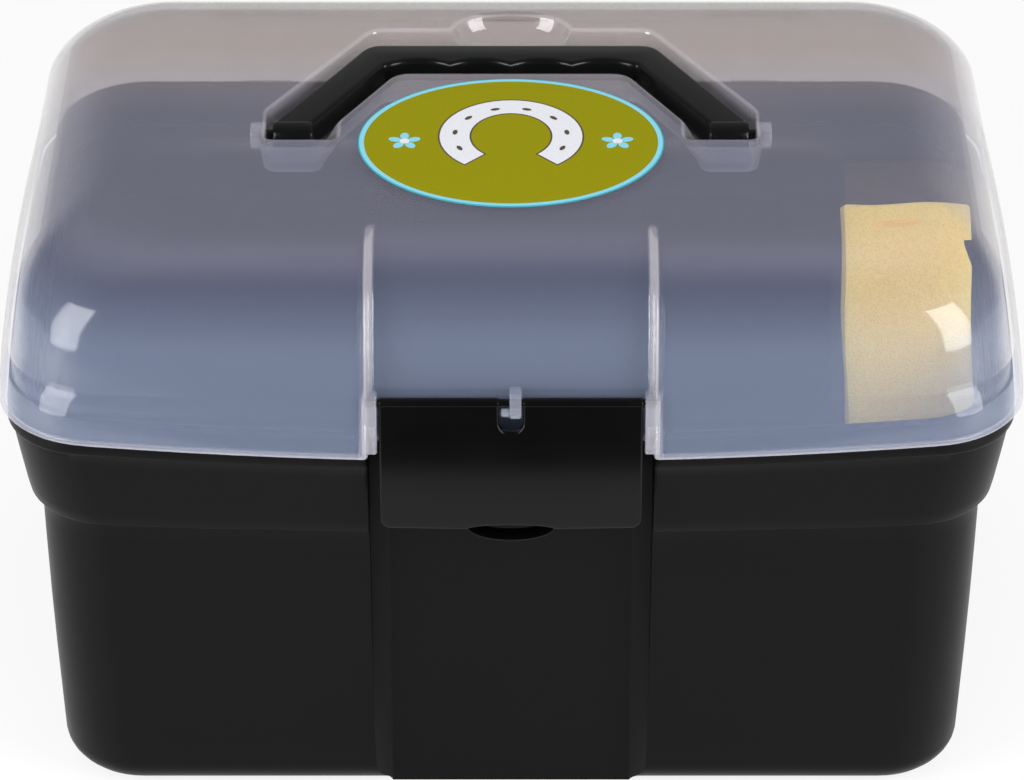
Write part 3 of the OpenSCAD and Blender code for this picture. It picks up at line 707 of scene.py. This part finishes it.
# Height and depth of points down the latch's face, which leans out from its axle and then hangs upright
LATCH_FACE = [(147.3, -102.55), (144.0, -103.2), (140.0, -104.0), (136.0, -104.8), (132.0, -105.6),
              (128.0, -106.3), (124.0, -106.8), (119.0, -107.2), (114.0, -107.4), (102.0, -107.4)]
LATCH_LOW = 107.3
# The notch in its top edge: half its width, its floor and the radius of its corners
NOTCH_HALF, NOTCH_Z, NOTCH_R = 3.5, 138.8, 3.4


def latch_face(z):
    for (z0, y0), (z1, y1) in zip(LATCH_FACE, LATCH_FACE[1:]):
        if z1 <= z <= z0:
            return y0 + (y1 - y0) * (z0 - z) / (z0 - z1)
    return LATCH_FACE[0][1]


def latch_mesh():
    """A bent plate with a notch in its top edge, a thumb lip, a hook behind and the axle that it turns on."""
    skin = Skin()
    # The plate's outline has points at each height of the face, so that it bends with it
    heights = [z for z, y in LATCH_FACE[:-1]]
    turns = [math.pi * i / 16 for i in range(16, -1, -1)]
    arch = [(12.6 * math.cos(a), LATCH_LOW + 1.4 * math.sin(a), 0, 0) for a in turns]
    low_corner = (LATCH_HALF, LATCH_LOW + 0.5, 3.2, 6)
    side = [(LATCH_HALF, z, 0, 0) for z in reversed(heights)]
    notch = [(NOTCH_HALF, z, 0, 0) for z in heights[:2]] + [(NOTCH_HALF, NOTCH_Z, NOTCH_R, 8)]
    plate = mirrored([low_corner]) + arch + [low_corner] + side + notch + mirrored(notch) + mirrored(side)
    rings = []
    for grow, d in ((-0.9, 0.0), (-0.4, 0.1), (-0.1, 0.4), (0.0, 0.9), (0.0, 1.7), (-0.1, 2.1), (-0.5, 2.4)):
        ring = [(x, LATCH_Z if z > LATCH_Z - 1.0 else z) for x, z in outline(plate, grow)]
        rings.append([(x, latch_face(z) + d, z) for x, z in ring])
    skin.solid(rings)
    # Thumb lip below the arch: a thin curved edge round a hollow
    turns = [math.pi * i / 24 for i in range(24, -1, -1)]
    lip = [(13.4 * math.cos(a), LATCH_LOW + 0.4 - 5.6 * math.sin(a), 0, 0) for a in turns]
    lip += [(12.8 * math.cos(a), LATCH_LOW + 0.6 - 4.9 * math.sin(a), 0, 0) for a in reversed(turns)]
    rows = [(-0.2, -105.9), (0.0, -105.6), (0.0, -100.2), (-0.2, -99.9)]
    skin.solid([[(x, y, z) for x, z in outline(lip, grow)] for grow, y in rows])
    # The rolled top edge on both sides of the notch, the axle and the hook
    for x0, x1 in ((-LATCH_HALF, -NOTCH_HALF), (NOTCH_HALF, LATCH_HALF)):
        round_bar(skin, x0, x1, LATCH_Y, LATCH_Z, 1.75, 0.5, 40)
    round_bar(skin, -42.0, 42.0, LATCH_Y, LATCH_Z, 1.4, 0.3, 20)
    hook = [(-105.8, 108.2, 0.3, 2), (-92.0, 107.0, 0.5, 3), (-91.2, 107.6, 0.3, 2),
            (-91.2, 109.0, 0.4, 3), (-92.6, 109.9, 0.3, 2), (-105.8, 110.6, 0.3, 2)]
    bar_x(skin, hook, -17, 17)
    return mesh_of("latch", skin, LATCH_BLACK)


# Sponge

# Its lean, the length of its front face, its depth along the foot and half its width
LEAN, SPONGE_LONG, SPONGE_THICK, SPONGE_HALF = math.radians(33), 76.0, 20.0, 19.0
# Middle of its foot's front edge
SPONGE_X, SPONGE_Y, SPONGE_Z = 119.3, -64.0, 104.4
# The torn nick on its right: distance down from the top, length and depth
NICK_FROM, NICK_LONG, NICK_DEEP = 10.9, 7.7, 2.8
# Distances down from the top: closer together at the top edge, the crease and the nick
SPONGE_DROPS = [0.0, 0.05, 0.15, 0.5, 1.2, 3.0, 5.0, 5.8, 6.4, 7.2, 9.0, 10.7]
SPONGE_DROPS += [NICK_FROM, 12.0, 14.0, 16.0, 18.6]
SPONGE_DROPS += [22 + 4 * i for i in range(13)] + [74.6, 75.6, SPONGE_LONG]
# What is left of the width at the eased edges, and how deep the crease is, by distance down from the top
SPONGE_EASE = {0.0: 0.5, 0.05: 0.85, 0.15: 0.955, 0.5: 0.985, SPONGE_LONG: 0.97}
SPONGE_CREASE = {5.8: 1.3, 6.4: 1.04}


def sponge_mesh():
    """A cut block that leans back on its flat foot: crisp edges, faces not quite flat.

    Near its top it has a crease in front and a torn nick on the right.
    """
    skin = Skin()
    back_long = SPONGE_LONG - SPONGE_THICK * math.sin(LEAN)
    rings = []
    for drop in SPONGE_DROPS:
        share = SPONGE_EASE.get(drop, 1.0)
        s = 1 - drop / SPONGE_LONG
        w, d, r = SPONGE_HALF * share, 0.5 * share, 0.06 * share
        front = [(w * k / 8, -d, 0, 0) for k in range(-7, 8)]
        back = [(w * k / 8, d, 0, 0) for k in range(7, -8, -1)]
        corners = [(-w, -d, r, 3)] + front + [(w, -d, r, 3), (w, 0, 0, 0), (w, d, r, 3)]
        corners += back + [(-w, d, r, 3), (-w, 0, 0, 0)]
        torn = max(0.0, 1 - (drop - NICK_FROM) / NICK_LONG) if drop >= NICK_FROM else 0.0
        sway = 0.018 * drop + 0.35 * math.sin(0.12 * drop)
        ring = []
        for x, v in outline(corners):
            deep = v + 0.5
            run = s * (SPONGE_LONG + (back_long - SPONGE_LONG) * deep)
            y = SPONGE_Y + SPONGE_THICK * deep + run * math.sin(LEAN)
            z = SPONGE_Z + run * math.cos(LEAN) + 0.4 * math.sin(0.16 * x + 0.6) * s
            nick = NICK_DEEP * torn * max(0.0, min(1.0, (x - 14) / 4.5)) * (1 - 0.7 * deep)
            in_front = max(0.0, 1 - 4 * deep)
            crease = SPONGE_CREASE.get(drop, 0.0) * max(0.0, 1 - ((x + 2.5) / 9) ** 4) * in_front
            wave = 0.3 * math.sin(0.21 * x + 0.13 * drop) + 0.2 * math.sin(0.17 * drop + 1)
            ring.append((SPONGE_X + x + sway - nick, y + wave * min(1.0, 4 * s) + crease, z - crease * 0.6))
        rings.append(ring)
    skin.solid(rings)
    return mesh_of("sponge", skin, FOAM, 50)


# Label

# Middle of the label, the lid's face under it, its half sizes, its thickness and the gap that the glue fills
LABEL_Y, LABEL_Z, LABEL_HALF_W, LABEL_HALF_D, LABEL_THICK, GLUE = -16.5, 186.0, 46.0, 38.5, 0.3, 0.03
# Middle of the printed horseshoe, its outer and inner radius, and the width of its outline
SHOE_Y, SHOE_OUTER, SHOE_INNER, SHOE_LINE = LABEL_Y + 3.0, 21.5, 12.5, 0.55
INKS = {"lime": "#8f8b00", "cyan": "#86cfe2", "teal": "#3f9fb0", "white": "#dfe0e6", "brown": "#5a4a3c"}


def oval(inset, z):
    """The label's outline, drawn in by inset."""
    return [(x, LABEL_Y + y, z) for x, y in ellipse(LABEL_HALF_W - inset, LABEL_HALF_D - inset, 96)]


def shoe(grow):
    """A horseshoe with its open end to the front: outer arc, heels and inner arc."""
    arc = [math.radians(-50 + 280 * i / 40) for i in range(41)]
    rim = [(SHOE_OUTER * math.cos(a), SHOE_Y + SHOE_OUTER * 1.02 * math.sin(a), 0, 0) for a in arc]
    bore = [(SHOE_INNER * math.cos(a), SHOE_Y + SHOE_INNER * 1.12 * math.sin(a), 0, 0) for a in reversed(arc)]
    return outline(rim + bore, grow)


def label_mesh():
    """The oval sheet, with the border and the horseshoe as faces of their own ink."""
    skin = Skin()
    inks = []

    def paint(name):
        """Give the faces made since the last call this ink."""
        inks.extend([name] * (len(skin.faces) - len(inks)))
    top = LABEL_Z + LABEL_THICK
    edge, rim = skin.walls([oval(0.0, LABEL_Z + GLUE), oval(0.0, top - 0.05), oval(0.1, top)])
    paint("teal")
    skin.fill(edge)
    paint("white")
    line, ground = skin.walls([oval(0.4, top), oval(1.8, top)])
    paint("cyan")
    skin.bridge(rim, line)
    paint("teal")
    shoe_line, shoe_face = skin.walls([level(shoe(SHOE_LINE), top), level(shoe(0.0), top)])
    paint("brown")
    skin.fill(ground, shoe_line)
    paint("lime")
    skin.fill(shoe_face)
    paint("white")
    mesh = mesh_of("label", skin, VINYL, 30)
    layer = mesh.color_attributes.new("ink", "FLOAT_COLOR", "CORNER")
    for face in mesh.polygons:
        for corner in face.loop_indices:
            layer.data[corner].color = colour(INKS[inks[face.index]])
    return mesh


def repeat_tree():
    """Copies of a small shape, spaced along an arc and turned with it."""
    tree = bpy.data.node_groups.new("copies_on_arc", "GeometryNodeTree")
    face = tree.interface
    face.new_socket("Geometry", in_out="INPUT", socket_type="NodeSocketGeometry")
    kinds = {"Count": "NodeSocketInt", "Radius": "NodeSocketFloat", "Start": "NodeSocketFloat",
             "Sweep": "NodeSocketFloat", "Material": "NodeSocketMaterial"}
    for name, kind in kinds.items():
        face.new_socket(name, in_out="INPUT", socket_type=kind)
    face.new_socket("Geometry", in_out="OUTPUT", socket_type="NodeSocketGeometry")
    given = add(tree, "NodeGroupInput").outputs
    arc = add(tree, "GeometryNodeCurveArc", {
        "Resolution": 64, "Radius": given["Radius"],
        "Start Angle": given["Start"], "Sweep Angle": given["Sweep"]})
    spots = add(tree, "GeometryNodeCurveToPoints", {
        "Curve": arc.outputs["Curve"], "Count": given["Count"]}, mode="COUNT")
    turned = add(tree, "FunctionNodeAlignRotationToVector", {
        "Vector": spots.outputs["Tangent"]}, axis="Y", pivot_axis="Z")
    dealt = add(tree, "GeometryNodeInstanceOnPoints", {
        "Points": spots.outputs["Points"], "Instance": given["Geometry"],
        "Rotation": turned.outputs["Rotation"]})
    real = add(tree, "GeometryNodeRealizeInstances", {"Geometry": dealt.outputs["Instances"]})
    dressed = add(tree, "GeometryNodeSetMaterial", {
        "Geometry": real.outputs["Geometry"], "Material": given["Material"]})
    add(tree, "NodeGroupOutput", {"Geometry": dressed.outputs["Geometry"]})
    return tree


def copies(tree, name, shape, ink, count, radius, start, sweep, at):
    """The small shape repeated on an arc, as a plain mesh at its place; start and sweep are in degrees."""
    skin = Skin()
    skin.faces.append(tuple(skin.ring(level(shape, 0.0))))
    obj = bpy.data.objects.new(name, mesh_of(name, skin, VINYL))
    scene.collection.objects.link(obj)
    mod = obj.modifiers.new("copies", "NODES")
    mod.node_group = tree
    values = {"Count": count, "Radius": radius * MM, "Start": math.radians(start),
              "Sweep": math.radians(sweep), "Material": VINYL}
    for item in tree.interface.items_tree:
        if item.in_out == "INPUT" and item.name in values:
            mod[item.identifier] = values[item.name]
    made = bpy.data.meshes.new_from_object(obj.evaluated_get(bpy.context.evaluated_depsgraph_get()))
    bpy.data.objects.remove(obj)
    made.transform(Matrix.Translation(Vector(at) * MM))
    layer = made.color_attributes.new("ink", "FLOAT_COLOR", "CORNER")
    for corner in layer.data:
        corner.color = colour(INKS[ink])
    return made


def joined(name, meshes):
    work = bmesh.new()
    for mesh in meshes:
        work.from_mesh(mesh)
    made = bpy.data.meshes.new(name)
    work.to_mesh(made)
    work.free()
    made.materials.append(VINYL)
    return made


def label_print():
    """Nail holes along the shoe and a five-petal flower at each side, printed on the label."""
    tree = repeat_tree()
    up = LABEL_Z + LABEL_THICK + 0.04
    nail, petal, heart = ellipse(0.75, 1.5, 12), ellipse(2.0, 1.35, 20), ellipse(1.5, 1.5, 20)
    parts = [copies(tree, "nails", nail, "brown", 8, 17.0, -25, 230, (0, SHOE_Y, up))]
    for x in (-32.0, 32.0):
        parts.append(copies(tree, "petals", petal, "cyan", 5, 3.0, 18, 288, (x, LABEL_Y, up)))
        parts.append(copies(tree, "hearts", heart, "white", 1, 0.01, 0, 90, (x, LABEL_Y, up + 0.03)))
    return joined("label_print", parts)


# The pieces and what they move with

place("tub", tub_mesh(), "tub", "tub")
place("lid", lid_mesh(), "lid", "lid")
place("tray", tray_mesh(), "tub", "tray")
place("handle", handle_mesh(), "handle", "handle")
place("latch", latch_mesh(), "latch", "latch")
place("sponge", sponge_mesh(), "tub", "sponge")
# The label is bonded to the lid, so the lid's inner face doesn't mirror its back
for sheet in (place("label", label_mesh(), "lid", "label"),
              place("label_print", label_print(), "lid", None)):
    sheet.visible_glossy = False
for name in ("hinge_pin_left", "hinge_pin_right"):
    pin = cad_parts[name]
    pin.data.materials.clear()
    pin.data.materials.append(STEEL)


# Floor, light and camera, in metres

WHITE = (1, 1, 1, 1)


def floor():
    """A white table that fades out in front and takes a soft shadow.

    It is white to the eye, through the lid and in gloss.
    """
    mesh = bpy.data.meshes.new("floor")
    near, size = -1.2, 4.0
    corners = [(-size, near, 0), (size, near, 0), (size, size, 0), (-size, size, 0)]
    mesh.from_pydata(corners, [], [(0, 1, 2, 3)])
    made, tree = material("floor_white")
    path = add(tree, "ShaderNodeLightPath").outputs
    spot = add(tree, "ShaderNodeSeparateXYZ", {"Vector": add(tree, "ShaderNodeTexCoord").outputs["Object"]})
    fade = add(tree, "ShaderNodeMapRange", {
        "Value": spot.outputs["Y"], "From Min": -0.65, "From Max": -0.28},
        interpolation_type="SMOOTHSTEP").outputs["Result"]
    tint = add(tree, "ShaderNodeMapRange", {"Value": fade, "To Min": 0.1, "To Max": 0.86})
    glowing = add(tree, "ShaderNodeMapRange", {"Value": fade, "To Min": 1.0, "To Max": 0.8})
    clear = add(tree, "ShaderNodeMath", {
        0: path["Is Camera Ray"], 1: path["Is Transmission Ray"]}, operation="MAXIMUM")
    gloss = add(tree, "ShaderNodeMath", {0: path["Is Glossy Ray"], 1: fade}, operation="MULTIPLY")
    gloss = add(tree, "ShaderNodeMath", {0: gloss.outputs[0], 1: 0.5}, operation="MULTIPLY")
    share = add(tree, "ShaderNodeMath", {
        0: clear.outputs[0], 1: glowing.outputs["Result"], 2: gloss.outputs[0]},
        operation="MULTIPLY_ADD", use_clamp=True)
    matt = add(tree, "ShaderNodeBsdfDiffuse", {"Color": tint.outputs["Result"]})
    glow = add(tree, "ShaderNodeEmission", {"Color": WHITE, "Strength": 1.0})
    both = add(tree, "ShaderNodeMixShader", {0: share.outputs[0], 1: matt.outputs[0], 2: glow.outputs[0]})
    finish_material(tree, both)
    mesh.materials.append(made)
    obj = bpy.data.objects.new("floor", mesh)
    scene.collection.objects.link(obj)


def surroundings():
    """White to the eye, an even soft light, and in gloss a room that is dim on the camera's side."""
    world = bpy.data.worlds.new("studio")
    scene.world = world
    world.use_nodes = True
    tree = world.node_tree
    tree.nodes.clear()
    path = add(tree, "ShaderNodeLightPath").outputs
    way = add(tree, "ShaderNodeTexCoord").outputs["Generated"]
    spot = add(tree, "ShaderNodeSeparateXYZ", {"Vector": way})
    room = add(tree, "ShaderNodeMapRange", {
        "Value": spot.outputs["Y"], "From Min": -0.5, "From Max": 0.4, "To Min": 0.15, "To Max": 0.4})
    fill = add(tree, "ShaderNodeBackground", {"Color": WHITE, "Strength": 0.75})
    dim = add(tree, "ShaderNodeBackground", {"Color": WHITE, "Strength": room.outputs["Result"]})
    white = add(tree, "ShaderNodeBackground", {"Color": WHITE, "Strength": 1.0})
    lit = add(tree, "ShaderNodeMixShader", {0: path["Is Glossy Ray"], 1: fill.outputs[0], 2: dim.outputs[0]})
    clear = add(tree, "ShaderNodeMath", {
        0: path["Is Camera Ray"], 1: path["Is Transmission Ray"]}, operation="MAXIMUM")
    seen = add(tree, "ShaderNodeMixShader", {0: clear.outputs[0], 1: lit.outputs[0], 2: white.outputs[0]})
    add(tree, "ShaderNodeOutputWorld", {"Surface": seen.outputs[0]})


def softbox(name, at, aim, width, height, power):
    lamp = bpy.data.lights.new(name, "AREA")
    lamp.shape, lamp.size, lamp.size_y, lamp.energy = "RECTANGLE", width, height, power
    obj = bpy.data.objects.new(name, lamp)
    obj.location = at
    obj.visible_camera = False
    obj.rotation_euler = (Vector(aim) - Vector(at)).to_track_quat("-Z", "Y").to_euler()
    scene.collection.objects.link(obj)


def camera():
    """The photograph's view: 33.08 degrees above the level, 1.392 m from the middle of the box."""
    tilt, away, aim = math.radians(33.08), 1.39244, Vector((0.0003, 0.0, 0.08634))
    # Focal length and width of the photograph in pixels, and the width of the camera's sensor in millimetres
    focal_pixels, wide_pixels, sensor = 4409, 1024, 36.0
    data = bpy.data.cameras.new("camera")
    data.sensor_fit, data.sensor_width, data.lens = "HORIZONTAL", sensor, sensor * focal_pixels / wide_pixels
    data.clip_start, data.clip_end = 0.05, 30.0
    obj = bpy.data.objects.new("camera", data)
    obj.location = aim + Vector((0, -away * math.cos(tilt), away * math.sin(tilt)))
    obj.rotation_euler = (aim - obj.location).to_track_quat("-Z", "Y").to_euler()
    scene.collection.objects.link(obj)
    scene.camera = obj


floor()
surroundings()
for name, side in (("softbox_left", -0.6), ("softbox_right", 0.6)):
    softbox(name, (side, -0.455, 0.33), (0, 0, 0.14), 0.37, 0.63, 5.4)
camera()
